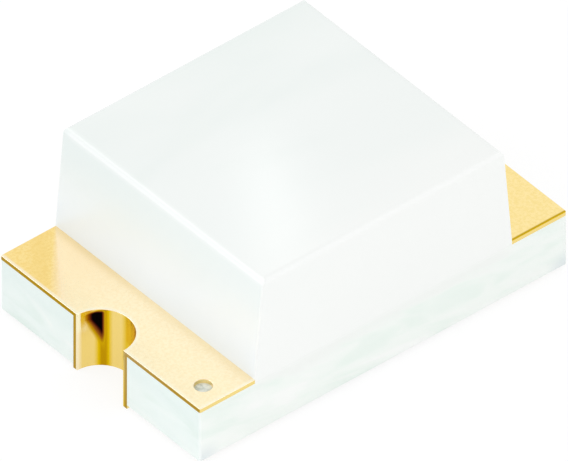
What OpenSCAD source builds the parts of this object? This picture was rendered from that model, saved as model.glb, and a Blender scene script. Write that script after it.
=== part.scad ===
// Chip light-emitting diode for surface mounting, in millimetres.
// The origin is at the middle of the underside, and the solder pads lie in the plane z = 0.
// X runs along the length, from the end with the polarity hole to the plain end, and Z points up.

/* [Board] */
// Length of the board
board_l = 2.00; // [1.85:0.05:2.40]
// Width of the board
board_w = 1.30; // [1.10:0.05:1.70]
// Thickness of the bare laminate
laminate_t = 0.265; // [0.150:0.005:0.500]

/* [End metal] */
// Thickness of the foil on both faces of the board
foil_t = 0.020; // [0.016:0.002:0.040]
// Radius of the half-round notch in each end, inside its plating
notch_r = 0.150; // [0.080:0.010:0.200]
// Thickness of the plating on the wall of the notch
plating_t = 0.025; // [0.010:0.005:0.050]
// Length of each top pad, from the end of the board to the foot of the lens
top_pad_l = 0.30; // [0.22:0.01:0.40]
// Length of each solder pad on the underside
solder_pad_l = 0.40; // [0.30:0.05:0.60]
// Distance of each solder pad from the sawn edges of the board
solder_pad_inset = 0.05; // [0.02:0.01:0.10]
// Diameter of the polarity hole in the top pad
mark_d = 0.080; // [0.040:0.010:0.120]
// Distance of the middle of the polarity hole from the end and the side of the board
mark_inset = 0.112; // [0.080:0.004:0.160]
// Width of the neck that joins each top pad to its land under the lens
neck_w = 0.20; // [0.10:0.02:0.30]

/* [Lands under the lens] */
// Width of the rim of the die land round the adhesive
die_land_rim = 0.050; // [0.010:0.010:0.080]
// Gap between the die land and the wire land
land_gap = 0.150; // [0.080:0.010:0.200]
// Length of the wire land
wire_land_l = 0.160; // [0.100:0.010:0.220]
// Width of the wire land
wire_land_w = 0.320; // [0.200:0.020:0.500]

/* [Lens] */
// Height of the lens above the top pads
lens_h = 0.515; // [0.400:0.005:0.900]
// Draft of the end faces of the lens, in degrees
lens_draft_deg = 5; // [0:1:12]
// Radius of the upper edges across the ends of the lens
lens_end_r = 0.030; // [0.010:0.005:0.080]
// Radius of the upper edges along the sides of the lens
lens_side_r = 0.025; // [0.005:0.005:0.080]

/* [Die] */
// Side of the square die
die_w = 0.250; // [0.180:0.010:0.320]
// Height of the die
die_h = 0.150; // [0.080:0.010:0.220]
// Width of the mesa step round the top of the die
mesa_rim_w = 0.010; // [0.004:0.002:0.020]
// Depth of the mesa step
mesa_depth = 0.012; // [0.004:0.002:0.030]
// Distance of the die from the middle of the board, towards the marked end
die_shift = 0.080; // [0.020:0.010:0.140]
// Diameter of the contact on top of the die
contact_d = 0.110; // [0.090:0.010:0.140]
// Thickness of that contact
contact_t = 0.005; // [0.003:0.001:0.010]

/* [Adhesive] */
// Thickness of the adhesive under the die
glue_t = 0.015; // [0.008:0.001:0.030]
// Width of the adhesive round the die, on the land
glue_foot_w = 0.030; // [0.015:0.005:0.050]
// Width of the adhesive round the die, at the top of its fillet
glue_rim_w = 0.006; // [0.003:0.001:0.010]
// Height of the fillet up the side of the die
glue_climb_h = 0.030; // [0.010:0.005:0.060]

/* [Bond wire] */
// Diameter of the wire
wire_d = 0.025; // [0.018:0.001:0.032]
// Diameter of the squashed ball on the contact
ball_d = 0.080; // [0.060:0.005:0.090]
// Height of the squashed ball
ball_h = 0.022; // [0.016:0.002:0.030]
// Height of the top of the loop above the contact
loop_h = 0.130; // [0.110:0.010:0.200]
// Radius of the bend at the top of the loop
loop_r = 0.050; // [0.030:0.005:0.070]
// Diameter of the flattened stitch on the wire land
stitch_d = 0.070; // [0.050:0.005:0.090]
// Thickness of the stitch
stitch_t = 0.008; // [0.005:0.001:0.012]

/* [Solder resist] */
// Thickness of the printed bar on the underside
resist_t = 0.012; // [0.006:0.002:0.014]
// Width of the bar
resist_w = 0.40; // [0.20:0.05:0.80]
// Gap between each end of the bar and the solder pad
resist_gap = 0.12; // [0.05:0.01:0.20]

/* [Hidden] */
$fn = 48;
// A cut goes this far past the face that it opens
cut_over = 0.05;
// Levels, from the solder pads up
laminate_top = foil_t + laminate_t;
land_top = laminate_top + foil_t;
die_z = land_top + glue_t;
contact_z = die_z + die_h;
wire_z = contact_z + contact_t;
// Half-round notches
drill_r = notch_r + plating_t;
// Pads
solder_pad_w = board_w - 2 * solder_pad_inset;
// The foot of the lens fills the board between the top pads
lens_l = board_l - 2 * top_pad_l;
// Lands under the lens
die_x = -die_shift;
glue_w = die_w + 2 * glue_foot_w;
die_land_w = glue_w + 2 * die_land_rim;
wire_land_x = die_x + die_land_w / 2 + land_gap;
// The last run of the wire starts square to the bend and ends on the wire land
stitch_x = wire_land_x + wire_land_l / 2;
bend_x = die_x + loop_r;
bend_z = wire_z + loop_h - loop_r;
run_dx = stitch_x - bend_x;
run_dz = bend_z - land_top;
run_reach = sqrt(run_dx * run_dx + run_dz * run_dz);
run_fall = atan2(run_dz, run_dx) + asin(loop_r / run_reach);
run_l = sqrt(run_reach * run_reach - loop_r * loop_r);
// Solder resist
resist_l = board_l - 2 * (solder_pad_inset + solder_pad_l + resist_gap);

// A box that is centred on y = 0
module slab(x, z, size) {
    translate([x, -size.y / 2, z]) cube(size);
}

// Half of an outline that stands on y = 0, with a sloping side and one rounded upper corner
// below: how far it goes straight down under y = 0
module rounded_half(half_w, below, height, draft, corner_r) {
    centre_x = half_w - (height - corner_r) * tan(draft) - corner_r / cos(draft);
    centre_y = height - corner_r;
    polygon([
        [0, -below],
        [half_w, -below],
        [half_w, 0],
        [centre_x + corner_r * cos(draft), centre_y + corner_r * sin(draft)],
        [centre_x, centre_y],
        [centre_x, height],
        [0, height]
    ]);
    translate([centre_x, centre_y]) circle(r = corner_r);
}

// The whole outline, one half each side of x = 0
module rounded_outline(half_w, below, height, draft, corner_r) {
    rounded_half(half_w, below, height, draft, corner_r);
    mirror([1, 0]) rounded_half(half_w, below, height, draft, corner_r);
}

// An outline in X and Z, drawn out evenly to both sides along Y
module along_y(width) {
    translate([0, width / 2, 0])
        rotate([90, 0, 0])
            linear_extrude(height = width)
                children();
}

// An outline in Y and Z, drawn out evenly to both sides along X
module along_x(length) {
    translate([-length / 2, 0, 0])
        rotate([90, 0, 90])
            linear_extrude(height = length)
                children();
}

// A square block with sloping sides that stands on z = 0
module sloped_block(foot_w, top_w, height) {
    side = [
        [-foot_w / 2, 0],
        [foot_w / 2, 0],
        [top_w / 2, height],
        [-top_w / 2, height]
    ];
    intersection() {
        along_y(foot_w) polygon(side);
        along_x(foot_w) polygon(side);
    }
}

// Round bar on the axis of the notch at the -X end
module notch_bar(radius, from, to) {
    translate([-board_l / 2, 0, from]) cylinder(r = radius, h = to - from);
}

// Top pad, plated wall and solder pad of the -X end, as one piece
module end_metal() {
    difference() {
        union() {
            slab(-board_l / 2, laminate_top, [top_pad_l, board_w, foil_t]);
            slab(-board_l / 2 + solder_pad_inset, 0, [solder_pad_l, solder_pad_w, foil_t]);
            intersection() {
                notch_bar(drill_r, 0, land_top);
                slab(-board_l / 2, 0, [board_l, board_w, land_top]);
            }
        }
        notch_bar(notch_r, -cut_over, land_top + cut_over);
    }
}

// Neck and land that carry the die
module die_land() {
    slab(-lens_l / 2, laminate_top, [lens_l / 2 + die_x, neck_w, foil_t]);
    slab(die_x - die_land_w / 2, laminate_top, [die_land_w, die_land_w, foil_t]);
}

// Neck and land that take the end of the wire
module wire_land() {
    slab(wire_land_x, laminate_top, [wire_land_l, wire_land_w, foil_t]);
    slab(stitch_x, laminate_top, [lens_l / 2 - stitch_x, neck_w, foil_t]);
}

// The loop starts straight up, bends over and falls in a straight run to the wire land
module wire_loop() {
    translate([die_x, 0, wire_z]) cylinder(d = wire_d, h = loop_h - loop_r);
    translate([bend_x, 0, bend_z])
        rotate([90, 0, 0])
            rotate([0, 0, 90 - run_fall])
                rotate_extrude(angle = 90 + run_fall)
                    translate([loop_r, 0]) circle(d = wire_d);
    translate([bend_x, 0, bend_z])
        rotate([0, 90 + run_fall, 0])
            translate([-loop_r, 0, 0]) cylinder(d = wire_d, h = run_l + wire_d);
}

// The ball is pressed flat below and above, and its rim stays round
module wire_ball() {
    rotate_extrude() {
        square([(ball_d - ball_h) / 2, ball_h]);
        intersection() {
            translate([(ball_d - ball_h) / 2, ball_h / 2]) circle(d = ball_h);
            translate([(ball_d - ball_h) / 2, 0]) square([ball_h, ball_h]);
        }
    }
}

module board() {
    color("#E4F0EC")
        difference() {
            slab(-board_l / 2, foil_t, [board_l, board_w, laminate_t]);
            notch_bar(drill_r, 0, land_top);
            mirror([1, 0, 0]) notch_bar(drill_r, 0, land_top);
        }
}

module marked_terminal() {
    color("#F4D67E")
        difference() {
            union() {
                end_metal();
                die_land();
            }
            translate([-board_l / 2 + mark_inset, -board_w / 2 + mark_inset, laminate_top - cut_over])
                cylinder(d = mark_d, h = foil_t + 2 * cut_over);
        }
}

module plain_terminal() {
    color("#F4D67E") {
        mirror([1, 0, 0]) end_metal();
        wire_land();
    }
}

module lens() {
    color("#EEF4F2")
        difference() {
            translate([0, 0, land_top])
                intersection() {
                    along_y(board_w)
                        rounded_outline(lens_l / 2, foil_t, lens_h, lens_draft_deg, lens_end_r);
                    along_x(lens_l)
                        rounded_outline(board_w / 2, foil_t, lens_h, 0, lens_side_r);
                }
            die_land();
            wire_land();
            die_adhesive();
            led_die();
            die_top_contact();
            bond_wire();
        }
}

module led_die() {
    mesa_w = die_w - 2 * mesa_rim_w;
    color("#5C6672") {
        slab(die_x - die_w / 2, die_z, [die_w, die_w, die_h - mesa_depth]);
        slab(die_x - mesa_w / 2, die_z, [mesa_w, mesa_w, die_h]);
    }
}

module die_adhesive() {
    color("#B9BDC0")
        difference() {
            translate([die_x, 0, land_top])
                sloped_block(glue_w, die_w + 2 * glue_rim_w, glue_t + glue_climb_h);
            led_die();
        }
}

module die_top_contact() {
    color("#E8C45A")
        translate([die_x, 0, contact_z]) cylinder(d = contact_d, h = contact_t);
}

module bond_wire() {
    color("#E8C45A") {
        translate([die_x, 0, wire_z]) wire_ball();
        intersection() {
            wire_loop();
            slab(-lens_l / 2, land_top, [lens_l, board_w, lens_h]);
        }
        translate([stitch_x, 0, land_top]) cylinder(d = stitch_d, h = stitch_t);
    }
}

// One end of the bar is a point, on the side of the marked terminal
module solder_resist_bar() {
    color("#4E9A63")
        translate([0, 0, foil_t - resist_t])
            linear_extrude(height = resist_t)
                polygon([
                    [-resist_l / 2, 0],
                    [(resist_w - resist_l) / 2, -resist_w / 2],
                    [resist_l / 2, -resist_w / 2],
                    [resist_l / 2, resist_w / 2],
                    [(resist_w - resist_l) / 2, resist_w / 2]
                ]);
}

board();
marked_terminal();
plain_terminal();
lens();
led_die();
die_adhesive();
die_top_contact();
bond_wire();
solder_resist_bar();
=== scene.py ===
"""Looks of the chip light-emitting diode: edges, materials, floor, light and camera.

Every length is in metres unless a comment says otherwise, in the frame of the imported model: X along
the board from its marked end, Y across it, Z up from the solder pads.
"""
from math import cos, pi, radians, sin

import bpy
from mathutils import Matrix, Vector


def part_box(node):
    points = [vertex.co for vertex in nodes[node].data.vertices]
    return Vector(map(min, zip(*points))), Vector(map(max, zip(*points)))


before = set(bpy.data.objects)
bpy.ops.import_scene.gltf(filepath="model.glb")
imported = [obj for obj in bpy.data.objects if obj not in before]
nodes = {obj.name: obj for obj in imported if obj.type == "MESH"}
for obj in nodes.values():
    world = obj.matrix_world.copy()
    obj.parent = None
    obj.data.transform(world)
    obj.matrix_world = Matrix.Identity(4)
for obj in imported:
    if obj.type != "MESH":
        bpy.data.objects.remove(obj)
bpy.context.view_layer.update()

MM = 0.001
board_low, board_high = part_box("board")
foil_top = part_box("marked_terminal")[1].z
lens_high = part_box("lens")[1]
foil_under = board_high.z
half_board_l = board_high.x
half_board_w = board_high.y
half_lens_l = lens_high.x
lens_top = lens_high.z
# Radius of a notch, inside its plating
NOTCH_R = 0.150 * MM


# Camera

# The photograph shows parallel edges as parallel, so the camera has no perspective
CAMERA_AZIMUTH = radians(-39.88)
CAMERA_ELEVATION = radians(40.35)
CAMERA_DISTANCE = 15.0 * MM
CAMERA_NEAR = 1.0 * MM
CAMERA_FAR = 2.0
CAMERA_AIM = Vector((0.0011, -0.0002, 0.3195)) * MM
FRAME_WIDTH = 2.3738 * MM


def away(azimuth, elevation):
    """Unit vector from the object towards a viewer at that azimuth and elevation."""
    return Vector((
        sin(azimuth) * cos(elevation),
        -cos(azimuth) * cos(elevation),
        sin(elevation),
    ))


def make_camera():
    data = bpy.data.cameras.new("camera")
    data.type = "ORTHO"
    data.ortho_scale = FRAME_WIDTH
    data.clip_start = CAMERA_NEAR
    data.clip_end = CAMERA_FAR
    camera = bpy.data.objects.new("camera", data)
    bpy.context.scene.collection.objects.link(camera)
    back = away(CAMERA_AZIMUTH, CAMERA_ELEVATION)
    camera.location = CAMERA_AIM + back * CAMERA_DISTANCE
    camera.rotation_euler = (-back).to_track_quat("-Z", "Y").to_euler()
    bpy.context.scene.camera = camera


# Node helpers

class Material:
    """A material with one Principled shader, and short calls for the nodes in front of it."""

    def __init__(self, name):
        self.material = bpy.data.materials.new(name)
        self.material.use_nodes = True
        self.tree = self.material.node_tree
        self.shader = self.tree.nodes["Principled BSDF"]
        coordinates = self.add("ShaderNodeTexCoord")
        self.place = coordinates.outputs["Object"]
        self.normal = coordinates.outputs["Normal"]

    def add(self, kind, **settings):
        node = self.tree.nodes.new(kind)
        for name, value in settings.items():
            setattr(node, name, value)
        return node

    def link(self, source, target):
        if hasattr(source, "links"):
            self.tree.links.new(source, target)
        else:
            target.default_value = source

    def set(self, **values):
        for name, value in values.items():
            self.link(value, self.shader.inputs[name.replace("_", " ")])

    def stretched(self, scale, turn=(0.0, 0.0, 0.0)):
        """Object coordinates turned, then divided by a feature size along each axis."""
        node = self.add("ShaderNodeMapping", vector_type="TEXTURE")
        self.link(self.place, node.inputs["Vector"])
        node.inputs["Rotation"].default_value = turn
        node.inputs["Scale"].default_value = scale
        return node.outputs["Vector"]

    def noise(self, vector, detail=2.0, rough=0.5, warp=0.0):
        node = self.add("ShaderNodeTexNoise")
        self.link(vector, node.inputs["Vector"])
        node.inputs["Scale"].default_value = 1.0
        node.inputs["Detail"].default_value = detail
        node.inputs["Roughness"].default_value = rough
        node.inputs["Distortion"].default_value = warp
        return node.outputs["Fac"]

    def grain(self, size, detail=2.0, rough=0.5):
        """Noise with features of one size in every direction."""
        return self.noise(self.stretched((size,) * 3), detail, rough)

    def ramp(self, value, stops, smooth=True):
        node = self.add("ShaderNodeValToRGB")
        self.link(value, node.inputs["Fac"])
        node.color_ramp.interpolation = "EASE" if smooth else "LINEAR"
        points = node.color_ramp.elements
        while len(points) < len(stops):
            points.new(1.0)
        for point, (position, colour) in zip(points, stops):
            point.position = position
            point.color = (*colour, 1.0)
        return node.outputs["Color"]

    def two_tones(self, noise, tones, margin=0.15):
        """The first tone in the low patches of a noise and the second in the high ones."""
        return self.ramp(noise, [(0.5 - margin, tones[0]), (0.5 + margin, tones[1])])

    def math(self, operation, a, b=0.0, clamp=False):
        node = self.add("ShaderNodeMath", operation=operation, use_clamp=clamp)
        self.link(a, node.inputs[0])
        self.link(b, node.inputs[1])
        return node.outputs["Value"]

    def folded(self, operation, values):
        """The values joined from first to last by one operation."""
        result, *others = values
        for other in others:
            result = self.math(operation, result, other)
        return result

    def total(self, *values):
        return self.folded("ADD", values)

    def product(self, *values):
        return self.folded("MULTIPLY", values)

    def largest(self, *values):
        return self.folded("MAXIMUM", values)

    def smallest(self, *values):
        return self.folded("MINIMUM", values)

    def difference(self, a, b):
        return self.math("SUBTRACT", a, b)

    def absolute(self, value):
        return self.math("ABSOLUTE", value)

    def fade(self, value, low, high, start=0.0, end=1.0):
        """From start at low to end at high, with soft ends. low can be above high."""
        node = self.add("ShaderNodeMapRange", interpolation_type="SMOOTHSTEP")
        self.link(value, node.inputs["Value"])
        node.inputs["From Min"].default_value = low
        node.inputs["From Max"].default_value = high
        node.inputs["To Min"].default_value = start
        node.inputs["To Max"].default_value = end
        return node.outputs["Result"]

    def parts(self, vector):
        node = self.add("ShaderNodeSeparateXYZ")
        self.link(vector, node.inputs["Vector"])
        return node.outputs["X"], node.outputs["Y"], node.outputs["Z"]

    def mix(self, factor, a, b):
        node = self.add("ShaderNodeMix", data_type="RGBA")
        self.link(factor, node.inputs["Factor"])
        self.link(a if hasattr(a, "links") else (*a, 1.0), node.inputs["A"])
        self.link(b if hasattr(b, "links") else (*b, 1.0), node.inputs["B"])
        return node.outputs["Result"]

    def along(self, vector, direction):
        node = self.add("ShaderNodeVectorMath", operation="DOT_PRODUCT")
        self.link(vector, node.inputs[0])
        node.inputs[1].default_value = direction
        return node.outputs["Value"]

    def bump(self, height, depth, strength):
        node = self.add("ShaderNodeBump")
        self.link(height, node.inputs["Height"])
        node.inputs["Distance"].default_value = depth
        node.inputs["Strength"].default_value = strength
        self.link(node.outputs["Normal"], self.shader.inputs["Normal"])


def rgb(red, green, blue):
    """A screen colour of 0 to 255 as scene-linear values."""
    def linear(value):
        value /= 255.0
        return value / 12.92 if value <= 0.04045 else ((value + 0.055) / 1.055) ** 2.4
    return linear(red), linear(green), linear(blue)


WHITE = (1.0, 1.0, 1.0)


# Milky resin

# From the darkest tone of the resin, reached by random cloud and by painted shade, to the palest
RESIN_TONES = [
    (0.20, rgb(236, 243, 240)),
    (0.50, rgb(244, 248, 246)),
    (0.80, rgb(249, 251, 249)),
]
# Painted shade for the upper ends of the lens, and painted light for their foot
SHADED_END_RESIN = rgb(232, 240, 239)
LIT_FOOT_RESIN = rgb(240, 248, 255)
CLOUD_SIZES = (1.3 * MM, 0.40 * MM, 0.6 * MM)
CLOUD_SHARE = 0.45
BASE_TONE = 0.67
# How much the painted shade darkens the resin's tone with each metre along X, Y and Z
PAINTED_SHADE_FALL = (0.0, 300.0, 480.0)
# Shares of white in the painted highlights on the edges
MARKED_RIM_HIGHLIGHT = 0.58
OTHER_RIM_HIGHLIGHT = 0.25
UPRIGHT_HIGHLIGHT = 0.35
SKIRT_SHARE = 0.5


def painted_rim_highlight(m, y, z, nx, nz):
    """Painted highlight: white on the edges of the lens, most of all on the one over the marked end."""
    over_end = m.fade(nx, -0.10, -0.35)
    off_corner = m.fade(y, half_board_w - 0.005 * MM, half_board_w - 0.05 * MM)
    marked_rim = m.product(over_end, off_corner, MARKED_RIM_HIGHLIGHT)
    upper = m.product(m.largest(marked_rim, OTHER_RIM_HIGHLIGHT), m.fade(nz, 0.09, 0.30), m.fade(nz, 0.95, 0.45))
    # The painted highlight runs out down the end face
    near_top = m.fade(z, lens_top - 0.050 * MM, lens_top - 0.020 * MM)
    skirt = m.product(marked_rim, near_top, m.fade(nz, 0.60, 0.30), SKIRT_SHARE)
    # The upright edge near the polarity hole has a faint painted highlight too
    to_side = m.fade(y, 0.014 * MM - half_board_w, 0.002 * MM - half_board_w)
    upright = m.product(m.fade(nx, -0.60, -0.90), to_side, UPRIGHT_HIGHLIGHT)
    return m.largest(upper, skirt, upright)


def milky_resin():
    m = Material("milky_resin")
    _, y, z = m.parts(m.place)
    nx, _, nz = m.parts(m.normal)
    # Painted shade: the resin is darker and greener higher up and towards +Y
    cloud = m.noise(m.stretched(CLOUD_SIZES), warp=0.4)
    painted_shade = m.along(m.place, PAINTED_SHADE_FALL)
    body = m.ramp(m.total(m.difference(m.product(cloud, CLOUD_SHARE), painted_shade), BASE_TONE), RESIN_TONES)
    # Painted shade darkens the end faces at the top of their +Y corner, and painted light makes them paler
    # and bluer at the foot
    end_face = m.fade(m.absolute(nx), 0.6, 0.9)
    height = m.fade(z, foil_top + 0.08 * MM, lens_top - 0.05 * MM)
    to_corner = m.fade(y, -0.30 * MM, 0.60 * MM, start=0.75)
    body = m.mix(m.product(end_face, height, to_corner), body, SHADED_END_RESIN)
    foot = m.fade(z, foil_top + 0.34 * MM, foil_top)
    body = m.mix(m.product(end_face, foot), body, LIT_FOOT_RESIN)
    # The painted highlight on the edges goes over the resin's tone
    m.set(
        Base_Color=m.mix(painted_rim_highlight(m, y, z, nx, nz), body, WHITE),
        Roughness=0.25,
        IOR=1.50,
    )
    m.bump(m.grain(0.012 * MM), depth=0.0004 * MM, strength=0.3)
    return m.material


# Laminate

STREAK_SIZES = (0.34 * MM, 0.34 * MM, 0.085 * MM)
STREAK_TURN = (0.10, radians(10), 0.0)
FIBRE_SIZES = (0.06 * MM, 0.06 * MM, 0.008 * MM)
# Levels in the noise of the streaks, and the tones of the long sides and of the ends there. The ends are the
# same laminate, darker with painted shade
STREAK_STOPS = [0.30, 0.52, 0.72]
SIDE_TONES = [rgb(240, 249, 243), rgb(247, 252, 248), rgb(252, 254, 252)]
SHADED_END_TONES = [rgb(228, 240, 235), rgb(236, 245, 242), rgb(242, 248, 245)]
SHADE_UNDER_FOIL = rgb(227, 239, 236)
SIDE_UNDER_LENS = rgb(246, 249, 246)
SHADED_LOW_CORNER = rgb(224, 232, 235)
BARE_LAMINATE = [rgb(200, 209, 200), rgb(240, 245, 239)]
END_SHADE_SHARE = 0.7
LOW_CORNER_SHADE_SHARE = 0.7
ROUNDED_CORNER_HIGHLIGHT = 0.35
# How far up or down the streaks move the ragged edge of the resin's tone
RAGGED_RANGE = 0.16 * MM


def laminate():
    m = Material("laminate")
    x, _, z = m.parts(m.place)
    nx, ny, nz = m.parts(m.normal)
    facing_x, facing_y, facing_z = m.absolute(nx), m.absolute(ny), m.absolute(nz)
    from_middle = m.absolute(x)
    streak = m.noise(m.stretched(STREAK_SIZES, STREAK_TURN), detail=2.5, warp=0.5)
    side = m.ramp(streak, list(zip(STREAK_STOPS, SIDE_TONES)))
    # The ends take the same streaks in painted shade
    end = m.ramp(streak, list(zip(STREAK_STOPS, SHADED_END_TONES)))
    # Painted shade: the ends are darker under the foil
    under_foil = m.fade(z, 0.14 * MM, 0.24 * MM)
    end = m.mix(m.product(under_foil, END_SHADE_SHARE), end, SHADE_UNDER_FOIL)
    body = m.mix(m.fade(facing_x, 0.3, 0.7), side, end)
    # The resin runs into the sawn side, so the top of the side takes its tone
    ragged = m.total(z, m.product(m.difference(streak, 0.5), RAGGED_RANGE))
    at_top = m.fade(ragged, foil_under - 0.085 * MM, foil_under - 0.015 * MM)
    under_lens = m.fade(from_middle, half_lens_l + 0.04 * MM, half_lens_l - 0.06 * MM)
    body = m.mix(m.product(at_top, under_lens), body, SIDE_UNDER_LENS)
    # Painted shade makes the lower corners of the long sides a little grey
    low = m.fade(z, board_low.z + 0.10 * MM, board_low.z)
    at_corner = m.fade(from_middle, half_board_l - 0.13 * MM, half_board_l - 0.02 * MM)
    on_side = m.fade(facing_y, 0.5, 0.9)
    body = m.mix(m.product(low, at_corner, on_side, LOW_CORNER_SHADE_SHARE), body, SHADED_LOW_CORNER)
    # The polarity hole shows bare laminate
    body = m.mix(m.fade(nz, 0.8, 0.95), body, m.two_tones(m.grain(0.02 * MM), BARE_LAMINATE))
    # The rounded upright corners are paler with a painted highlight
    corner_highlight = m.fade(m.largest(facing_x, facing_y, facing_z), 0.99, 0.95)
    m.set(
        Base_Color=m.mix(m.product(corner_highlight, ROUNDED_CORNER_HIGHLIGHT), body, WHITE),
        Roughness=0.5,
    )
    m.bump(m.noise(m.stretched(FIBRE_SIZES)), depth=0.0008 * MM, strength=0.4)
    return m.material


# Gold plating

BRIGHT_GOLD = rgb(248, 228, 60)
DEEP_GOLD = rgb(228, 190, 4)
PLAIN_GOLD = rgb(242, 213, 124)
OLIVE_GOLD = rgb(192, 147, 4)
CREAM_GOLD = rgb(250, 234, 193)
DARKER_EDGE_GOLD = rgb(198, 162, 14)
# Streaks round the wall of a notch, by angle from the middle plane in degrees
NOTCH_STREAKS = [
    (-42, DEEP_GOLD),
    (-12, BRIGHT_GOLD),
    (3, DEEP_GOLD),
    (14, PLAIN_GOLD),
    (29, PLAIN_GOLD),
    (36, DEEP_GOLD),
    (41, OLIVE_GOLD),
    (48, OLIVE_GOLD),
    (53, DEEP_GOLD),
    (60, PLAIN_GOLD),
    (80, PLAIN_GOLD),
    (88, CREAM_GOLD),
]
MIRRORED_WALL = rgb(255, 248, 212)
MIRRORED_WALL_SHARE = 0.60
# Tones of the painted dark reflection, from the rim of the dark wedge to its middle
REFLECTION_WEDGE_TONES = [
    (0.28, rgb(204, 162, 4)),
    (0.56, rgb(146, 82, 18)),
    (0.83, rgb(70, 20, 12)),
    (1.0, rgb(4, 2, 2)),
]
# Angles from the middle plane of the wedge's two sides, and the depth that it has on the sloping one
WEDGE_SLOPING_SIDE = radians(69)
WEDGE_STEEP_SIDE = radians(40.5)
WEDGE_SLOPING_DEPTH = 0.56
# The angles in which the sides fade. The sloping one is softer towards the tip
WEDGE_STEEP_SOFTNESS = radians(7)
WEDGE_SLOPING_SOFTNESS = radians(14)
WEDGE_TIP_SOFTNESS = radians(20)
# Distances below the rim of the notch between which the sloping side is upright
WEDGE_UPRIGHT_HEAD = 0.023 * MM
WEDGE_UPRIGHT_FOOT = 0.050 * MM
# How far the sloping side turns in with each metre from there, up to the rim and down to the tip
WEDGE_RIM_SLOPE = radians(700) / MM
WEDGE_TIP_SLOPE = radians(200) / MM


def painted_reflection_wedge(m, angle, z):
    """Depth in the dark wedge of painted reflection that hangs from the rim of a notch: 0 outside it, 1 in
    its middle.
    """
    below_rim = m.difference(foil_top, z)
    to_rim = m.product(m.difference(below_rim, WEDGE_UPRIGHT_HEAD), WEDGE_RIM_SLOPE)
    to_tip = m.product(m.difference(WEDGE_UPRIGHT_FOOT, below_rim), WEDGE_TIP_SLOPE)
    shift = m.smallest(to_rim, to_tip, 0.0)
    softness = m.fade(below_rim, 0.055 * MM, 0.115 * MM, WEDGE_SLOPING_SOFTNESS, WEDGE_TIP_SOFTNESS)
    inside = m.difference(m.total(shift, WEDGE_SLOPING_SIDE), angle)
    sloping = m.math("ADD", m.math("DIVIDE", inside, softness), WEDGE_SLOPING_DEPTH, clamp=True)
    steep = m.math("DIVIDE", m.difference(angle, WEDGE_STEEP_SIDE), WEDGE_STEEP_SOFTNESS, clamp=True)
    return m.product(sloping, steep, m.fade(below_rim, 0.0, 0.020 * MM))


def notch_wall(m, y, z, inward):
    """Streaks round the plated wall of a notch, with the dark wedge of painted reflection."""
    angle = m.math("ARCTAN2", y, inward)
    first = radians(NOTCH_STREAKS[0][0])
    span = radians(NOTCH_STREAKS[-1][0]) - first
    position = m.math("DIVIDE", m.difference(angle, first), span, clamp=True)
    stops = [((radians(degrees) - first) / span, colour) for degrees, colour in NOTCH_STREAKS]
    streaks = m.ramp(position, stops, smooth=False)
    # High up near +Y the wall mirrors the wall across from it, so its own colour is lighter there
    near_end = m.fade(angle, radians(68), radians(76))
    high_up = m.fade(z, 0.18 * MM, 0.23 * MM)
    streaks = m.mix(m.product(near_end, high_up, MIRRORED_WALL_SHARE), streaks, MIRRORED_WALL)
    # The dark wedge is a painted reflection
    depth = painted_reflection_wedge(m, angle, z)
    in_wedge = m.math("DIVIDE", depth, REFLECTION_WEDGE_TONES[0][0], clamp=True)
    return m.mix(in_wedge, streaks, m.ramp(depth, REFLECTION_WEDGE_TONES, smooth=False))


# The pale tones of the marked pad are a painted reflection of the lens
LENS_REFLECTION_TONES = [rgb(249, 230, 190), rgb(253, 237, 203)]
LENS_REFLECTION_FAR_SIDE = rgb(250, 227, 186)
# Painted shade by the foot of the lens
SHADE_BY_LENS = rgb(238, 214, 166)
RICH_TONES = [rgb(247, 216, 135), rgb(252, 226, 153)]
RICH_BAND = rgb(244, 212, 128)
PLAIN_PAD_TONES = [rgb(250, 225, 150), rgb(255, 232, 166)]
# Painted highlight near the rims of the marked pad
RIM_HIGHLIGHT_GOLD = rgb(250, 240, 216)
FAR_SIDE_SHARE = 0.8
RICH_BAND_SHARE = 0.5
RIM_HIGHLIGHT_SHARE = 0.8
# The soft edge of the painted reflection across the marked pad: the direction across it, and its distance
# from the origin
LINE_NORMAL = (-0.768, 0.640, 0.0)
LINE_DISTANCE = 0.9536 * MM
# Width of that line at the lens, and how much wider it gets with each metre from there
LINE_WIDTH = 0.010 * MM
LINE_WIDENING = 0.16


def marked_pad(m, patch, x, y, from_rim):
    """Top of the marked pad: a painted reflection of the lens, but rich gold beyond a soft line across it,
    with painted shade by the lens and painted highlights near the rims.
    """
    outward = m.difference(-half_lens_l, x)
    # Painted reflection of the lens, a little darker towards +Y
    lens_reflection = m.two_tones(patch, LENS_REFLECTION_TONES)
    lens_reflection = m.mix(m.product(m.fade(y, 0.0, 0.50 * MM), FAR_SIDE_SHARE), lens_reflection, LENS_REFLECTION_FAR_SIDE)
    # Painted shade along the foot of the lens
    by_lens = m.fade(outward, 0.055 * MM, 0.0)
    shaded = m.fade(y, -0.05 * MM, 0.45 * MM, start=0.5)
    lens_reflection = m.mix(m.product(by_lens, shaded), lens_reflection, SHADE_BY_LENS)
    # Beyond the edge of the painted reflection the pad shows its rich gold, darker in a band along that edge
    beyond = m.difference(m.along(m.place, LINE_NORMAL), LINE_DISTANCE)
    band = m.product(m.fade(beyond, 0.0, 0.05 * MM), m.fade(beyond, 0.13 * MM, 0.07 * MM), RICH_BAND_SHARE)
    rich = m.mix(band, m.two_tones(patch, RICH_TONES), RICH_BAND)
    width = m.total(m.product(m.largest(outward, 0.0), LINE_WIDENING), LINE_WIDTH)
    is_rich = m.math("ADD", m.math("DIVIDE", beyond, width), 0.5, clamp=True)
    # Painted highlight near the rims
    near_rim = m.fade(from_rim, 0.020 * MM, 0.008 * MM)
    return m.mix(m.product(near_rim, RIM_HIGHLIGHT_SHARE), m.mix(is_rich, lens_reflection, rich), RIM_HIGHLIGHT_GOLD)


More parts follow.
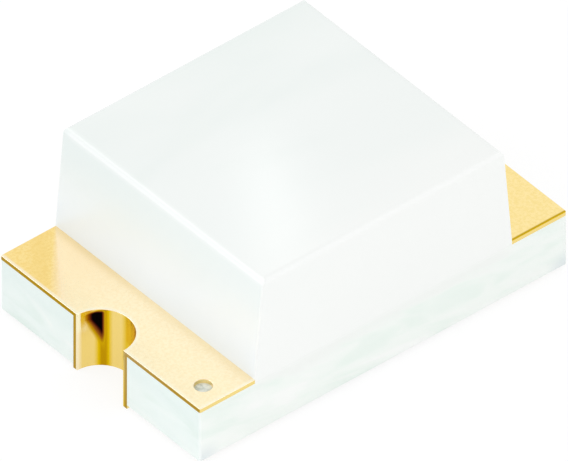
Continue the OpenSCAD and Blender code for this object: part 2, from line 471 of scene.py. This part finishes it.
def plain_pad(m, patch, from_side):
    """Top of the plain pad, darker along its side towards -Y."""
    return m.mix(m.fade(from_side, 0.016 * MM, 0.008 * MM), m.two_tones(patch, PLAIN_PAD_TONES), DARKER_EDGE_GOLD)


# The rounded rims, cream with a painted highlight on the marked pad
MARKED_RIM_HIGHLIGHT_GOLD = rgb(250, 238, 212)
PLAIN_PAD_EDGE = rgb(252, 228, 156)
CUT_GOLD = rgb(246, 220, 140)
END_CUT_GOLD = rgb(178, 141, 0)
HOLE_WALL_GOLD = rgb(255, 230, 165)
GOLD_ROUGHNESS = 0.14
GOLD_ROUGHNESS_RANGE = 0.10


def gold_plating():
    m = Material("gold_plating")
    x, y, z = m.parts(m.place)
    nx, ny, nz = m.parts(m.normal)
    facing_x, facing_y, facing_z = m.absolute(nx), m.absolute(ny), m.absolute(nz)
    inward = m.difference(half_board_l, m.absolute(x))
    from_side = m.total(half_board_w, y)
    from_axis = m.math("SQRT", m.total(m.product(y, y), m.product(inward, inward)))
    from_notch = m.difference(from_axis, NOTCH_R)
    from_rim = m.smallest(inward, from_side, from_notch)
    is_plain = m.fade(x, -0.2 * MM, 0.2 * MM)
    # The tops of the pads, and their rounded rims, cream with a painted highlight on the marked pad
    patch = m.grain(0.014 * MM, detail=3.0, rough=0.60)
    tops = m.mix(is_plain, marked_pad(m, patch, x, y, from_rim), plain_pad(m, patch, from_side))
    plain_edge = m.mix(m.fade(facing_y, 0.10, 0.30), PLAIN_PAD_EDGE, DARKER_EDGE_GOLD)
    edge = m.mix(is_plain, MARKED_RIM_HIGHLIGHT_GOLD, plain_edge)
    top = m.mix(m.fade(facing_z, 0.99, 0.93), tops, edge)
    # The cut ends of the plating
    end_cut = m.product(m.fade(facing_x, 0.70, 0.90), m.fade(inward, 0.006 * MM, 0.004 * MM))
    wall = m.mix(end_cut, CUT_GOLD, END_CUT_GOLD)
    # The wall of the polarity hole mirrors the grey laminate, so its own colour is lighter
    across_hole = m.product(m.fade(from_side, 0.02 * MM, 0.04 * MM), m.fade(from_side, 0.30 * MM, 0.25 * MM))
    in_hole = m.product(across_hole, m.fade(inward, 0.02 * MM, 0.04 * MM))
    wall = m.mix(in_hole, wall, HOLE_WALL_GOLD)
    in_notch = m.fade(from_notch, 0.010 * MM, 0.005 * MM)
    wall = m.mix(in_notch, wall, notch_wall(m, y, z, inward))
    grain = m.grain(0.010 * MM)
    m.set(
        Base_Color=m.mix(m.fade(facing_z, 0.45, 0.70), wall, top),
        Metallic=1.0,
        Roughness=m.total(m.product(grain, GOLD_ROUGHNESS_RANGE), GOLD_ROUGHNESS),
    )
    m.bump(grain, depth=0.0003 * MM, strength=0.35)
    return m.material


# Pieces inside the lens and on the underside

DIE_TONES = [(0.03, 0.04, 0.05), (0.08, 0.10, 0.12)]
ADHESIVE_TONES = [(0.45, 0.45, 0.46), (0.7, 0.7, 0.71)]
RESIST_TONES = [rgb(52, 120, 78), rgb(66, 140, 92)]
WIRE_GOLD = rgb(250, 214, 120)
WIRE_SHADE = 0.85


def gold_wire():
    m = Material("gold_wire")
    shaded = [WIRE_SHADE * part for part in WIRE_GOLD]
    m.set(
        Base_Color=m.two_tones(m.grain(0.05 * MM), [shaded, WIRE_GOLD], margin=0.2),
        Metallic=1.0,
        Roughness=0.2,
    )
    return m.material


def speckled(name, tones, size, roughness, metallic=0.0):
    """Grain of one size in two tones, raised by a twentieth of that size."""
    m = Material(name)
    grain = m.grain(size, detail=3.0)
    m.set(
        Base_Color=m.two_tones(grain, tones),
        Roughness=roughness,
        Metallic=metallic,
    )
    m.bump(grain, depth=0.05 * size, strength=0.3)
    return m.material


# Rounded edges

class Shape:
    """A group of geometry nodes for a modifier, and short calls for its nodes."""

    def __init__(self, name):
        self.tree = bpy.data.node_groups.new(name, "GeometryNodeTree")
        self.tree.interface.new_socket("Geometry", in_out="INPUT", socket_type="NodeSocketGeometry")
        self.tree.interface.new_socket("Geometry", in_out="OUTPUT", socket_type="NodeSocketGeometry")
        self.flow = self.tree.nodes.new("NodeGroupInput").outputs["Geometry"]

    def value(self, kind, inputs=(), **settings):
        node = self.tree.nodes.new(kind)
        for name, value in settings.items():
            setattr(node, name, value)
        for name, value in dict(inputs).items():
            if hasattr(value, "links"):
                self.tree.links.new(value, node.inputs[name])
            else:
                node.inputs[name].default_value = value
        return node

    def step(self, kind, inputs=(), **settings):
        node = self.value(kind, inputs, **settings)
        self.tree.links.new(self.flow, node.inputs[0])
        self.flow = node.outputs[0]

    def math(self, operation, a, b=0.0):
        return self.value("ShaderNodeMath", {0: a, 1: b}, operation=operation).outputs["Value"]

    def product(self, first, *others):
        for other in others:
            first = self.math("MULTIPLY", first, other)
        return first

    def finish(self):
        output = self.tree.nodes.new("NodeGroupOutput")
        self.tree.links.new(self.flow, output.inputs["Geometry"])
        return self.tree


BOARD_CORNER_R = 0.012 * MM
FOIL_EDGE_R = 0.005 * MM
BEVEL_SEGMENTS = 3
SHARP_ANGLE = radians(30)
FLAT_ANGLE = radians(1)
# Edges with a smaller bevel weight than this aren't rounded
LEAST_WEIGHT = 0.01
# The mesh is in millimetres while its edges are rounded
ENLARGE = 1.0 / MM
# Points of the enlarged mesh that are less than this many millimetres apart count as one place
SLACK = 0.0005


def enlarge():
    """Joined faces in millimetres, because the bevel is not exact on lengths of a few millionths."""
    shape = Shape("enlarge")
    shape.step("GeometryNodeRemoveAttribute", {"Name": "custom_normal"})
    shape.step("GeometryNodeTransform", {"Scale": (ENLARGE,) * 3})
    shape.step("GeometryNodeMergeByDistance", {"Distance": SLACK})
    return shape.finish()


def mark_edges():
    """Weights for the bevel: 1 at the upright corners of the board, and less at the pads' rims."""
    shape = Shape("mark_edges")
    angle = shape.value("GeometryNodeInputMeshEdgeAngle").outputs["Unsigned Angle"]
    place = shape.value("GeometryNodeInputPosition").outputs["Position"]
    parts = shape.value("ShaderNodeSeparateXYZ", {0: place}).outputs
    far_x = shape.math("ABSOLUTE", parts["X"])
    far_y = shape.math("ABSOLUTE", parts["Y"])

    def beyond(value, limit, margin):
        return shape.math("GREATER_THAN", value, limit * ENLARGE + margin)

    sharp = shape.math("GREATER_THAN", angle, SHARP_ANGLE)
    at_end = beyond(far_x, half_board_l, -SLACK)
    at_side = beyond(far_y, half_board_w, -SLACK)
    board_corner = shape.product(sharp, at_end, at_side)
    at_top = beyond(parts["Z"], foil_top, -SLACK)
    on_pad = beyond(far_x, half_lens_l, SLACK)
    pad_rim = shape.product(sharp, at_top, on_pad, FOIL_EDGE_R / BOARD_CORNER_R)
    weight = shape.math("MAXIMUM", board_corner, pad_rim)
    shape.step(
        "GeometryNodeStoreNamedAttribute",
        {"Name": "bevel_weight_edge", "Value": weight},
        data_type="FLOAT", domain="EDGE",
    )
    # Edges that are sharp and aren't rounded stay sharp in the shading
    shape.step("GeometryNodeSetShadeSmooth", {"Shade Smooth": True})
    kept_sharp = shape.product(sharp, shape.math("LESS_THAN", weight, LEAST_WEIGHT))
    shape.step(
        "GeometryNodeSetShadeSmooth",
        {"Selection": kept_sharp, "Shade Smooth": False},
        domain="EDGE",
    )
    return shape.finish()


def shrink():
    shape = Shape("shrink")
    shape.step("GeometryNodeTransform", {"Scale": (1.0 / ENLARGE,) * 3})
    return shape.finish()


def round_edges(names):
    enlarged, marked, shrunk = enlarge(), mark_edges(), shrink()
    for name in names:
        modifiers = nodes[name].modifiers
        modifiers.new("enlarge", "NODES").node_group = enlarged
        flat = modifiers.new("flat_faces", "DECIMATE")
        flat.decimate_type = "DISSOLVE"
        flat.angle_limit = FLAT_ANGLE
        modifiers.new("mark_edges", "NODES").node_group = marked
        bevel = modifiers.new("round_edges", "BEVEL")
        bevel.limit_method = "WEIGHT"
        bevel.width = BOARD_CORNER_R * ENLARGE
        bevel.segments = BEVEL_SEGMENTS
        weighted = modifiers.new("even_shading", "WEIGHTED_NORMAL")
        weighted.keep_sharp = True
        modifiers.new("shrink", "NODES").node_group = shrunk


# Floor, backdrop and light

FLOOR_REACH = 1.0
FLOOR_COLOUR = (0.9, 0.9, 0.9, 1.0)
FLOOR_GLOW = 1.05
FLOOR_GLOW_SHARE = 0.80
# The backdrop is white where it is seen, and a little less bright as a light
BACKDROP_WHITE = 1.0
BACKDROP_LIGHT = 0.80


def seen_ray(tree):
    """1 for a ray from the camera, a reflection or a transmission, 0 for one that only carries light."""
    path = tree.nodes.new("ShaderNodeLightPath")
    seen = path.outputs["Is Camera Ray"]
    for name in ("Is Glossy Ray", "Is Transmission Ray"):
        either = tree.nodes.new("ShaderNodeMath")
        either.operation = "MAXIMUM"
        tree.links.new(seen, either.inputs[0])
        tree.links.new(path.outputs[name], either.inputs[1])
        seen = either.outputs["Value"]
    return seen


def floor_material():
    material = bpy.data.materials.new("floor")
    material.use_nodes = True
    tree = material.node_tree
    shader = tree.nodes["Principled BSDF"]
    shader.inputs["Base Color"].default_value = FLOOR_COLOUR
    shader.inputs["Roughness"].default_value = 1.0
    shader.inputs["Specular IOR Level"].default_value = 0.0
    # Seen directly or in the metal, the floor is mostly its own white, so that its shadow stays faint
    white = tree.nodes.new("ShaderNodeEmission")
    white.inputs["Strength"].default_value = FLOOR_GLOW
    share = tree.nodes.new("ShaderNodeMath")
    share.operation = "MULTIPLY"
    share.inputs[1].default_value = FLOOR_GLOW_SHARE
    tree.links.new(seen_ray(tree), share.inputs[0])
    both = tree.nodes.new("ShaderNodeMixShader")
    tree.links.new(share.outputs["Value"], both.inputs["Fac"])
    tree.links.new(shader.outputs["BSDF"], both.inputs[1])
    tree.links.new(white.outputs["Emission"], both.inputs[2])
    tree.links.new(both.outputs["Shader"], tree.nodes["Material Output"].inputs["Surface"])
    return material


def make_floor():
    mesh = bpy.data.meshes.new("floor")
    r = FLOOR_REACH
    mesh.from_pydata([(-r, -r, 0.0), (r, -r, 0.0), (r, r, 0.0), (-r, r, 0.0)], [], [(0, 1, 2, 3)])
    mesh.materials.append(floor_material())
    floor = bpy.data.objects.new("floor", mesh)
    bpy.context.scene.collection.objects.link(floor)


def make_world():
    world = bpy.data.worlds.new("world")
    bpy.context.scene.world = world
    world.use_nodes = True
    tree = world.node_tree
    background = tree.nodes["Background"]
    background.inputs["Color"].default_value = (*WHITE, 1.0)
    level = tree.nodes.new("ShaderNodeMix")
    level.data_type = "FLOAT"
    tree.links.new(seen_ray(tree), level.inputs["Factor"])
    level.inputs["A"].default_value = BACKDROP_LIGHT
    level.inputs["B"].default_value = BACKDROP_WHITE
    tree.links.new(level.outputs["Result"], background.inputs["Strength"])


def area_light(name, place, aim, along, width, height, radiance, mirrored=True):
    """A softbox with its width along one axis. radiance 1 is as bright as white paper."""
    data = bpy.data.lights.new(name, "AREA")
    data.shape = "RECTANGLE"
    data.size = width * MM
    data.size_y = height * MM
    data.energy = radiance * pi * width * height * MM * MM
    light = bpy.data.objects.new(name, data)
    bpy.context.scene.collection.objects.link(light)
    behind = (Vector(place) - Vector(aim)).normalized()
    sideways = Vector(along)
    sideways = (sideways - behind * sideways.dot(behind)).normalized()
    upwards = behind.cross(sideways)
    turn = Matrix((sideways, upwards, behind)).transposed()
    light.matrix_world = Matrix.Translation(Vector(place) * MM) @ turn.to_4x4()
    light.visible_camera = False
    light.visible_glossy = mirrored


def make_lights():
    """Places and sizes are in millimetres. The broad fills aren't mirrored, so the gold stays even."""
    middle = (0.0, 0.0, 0.5)
    highlight = (-0.33, -0.32, 0.82)
    area_light(
        "end_edge_strip", place=(-2.9, 3.6, 4.6), aim=middle, along=(0, 1, 0),
        width=5.0, height=1.2, radiance=2.4,
    )
    area_light(
        "side_edge_strip", place=(3.0, -3.5, 4.6), aim=middle, along=(1, 0, 0),
        width=4.0, height=0.8, radiance=2.0,
    )
    area_light(
        "soft_patch", place=(0.65, 0.85, 2.12), aim=highlight, along=(0.49, 0.87, 0),
        width=0.50, height=0.16, radiance=3.2,
    )
    area_light(
        "end_fill", place=(-4.2, -1.8, 1.7), aim=middle, along=(0, 1, 0),
        width=4.5, height=3.0, radiance=0.88, mirrored=False,
    )
    area_light(
        "side_fill", place=(1.8, -5.6, 1.9), aim=middle, along=(1, 0, 0),
        width=6.0, height=3.0, radiance=0.53, mirrored=False,
    )
    area_light(
        "back_fill", place=(3.6, 3.6, 1.6), aim=middle, along=(1, -1, 0),
        width=4.0, height=3.0, radiance=0.40, mirrored=False,
    )


def dress(material, *names):
    """The material on every slot of the named pieces."""
    for name in names:
        for slot in nodes[name].material_slots:
            slot.material = material


make_camera()
make_world()
make_floor()
make_lights()

dress(laminate(), "board")
dress(gold_plating(), "marked_terminal", "plain_terminal")
dress(milky_resin(), "lens")
dress(speckled("die_crystal", DIE_TONES, size=0.02 * MM, roughness=0.2), "led_die")
dress(
    speckled("silver_adhesive", ADHESIVE_TONES, size=0.01 * MM, roughness=0.4, metallic=0.7),
    "die_adhesive",
)
dress(gold_wire(), "die_top_contact", "bond_wire")
dress(speckled("solder_resist", RESIST_TONES, size=0.05 * MM, roughness=0.35), "solder_resist_bar")
round_edges(["board", "marked_terminal", "plain_terminal"])

bpy.context.scene.view_settings.view_transform = "Standard"
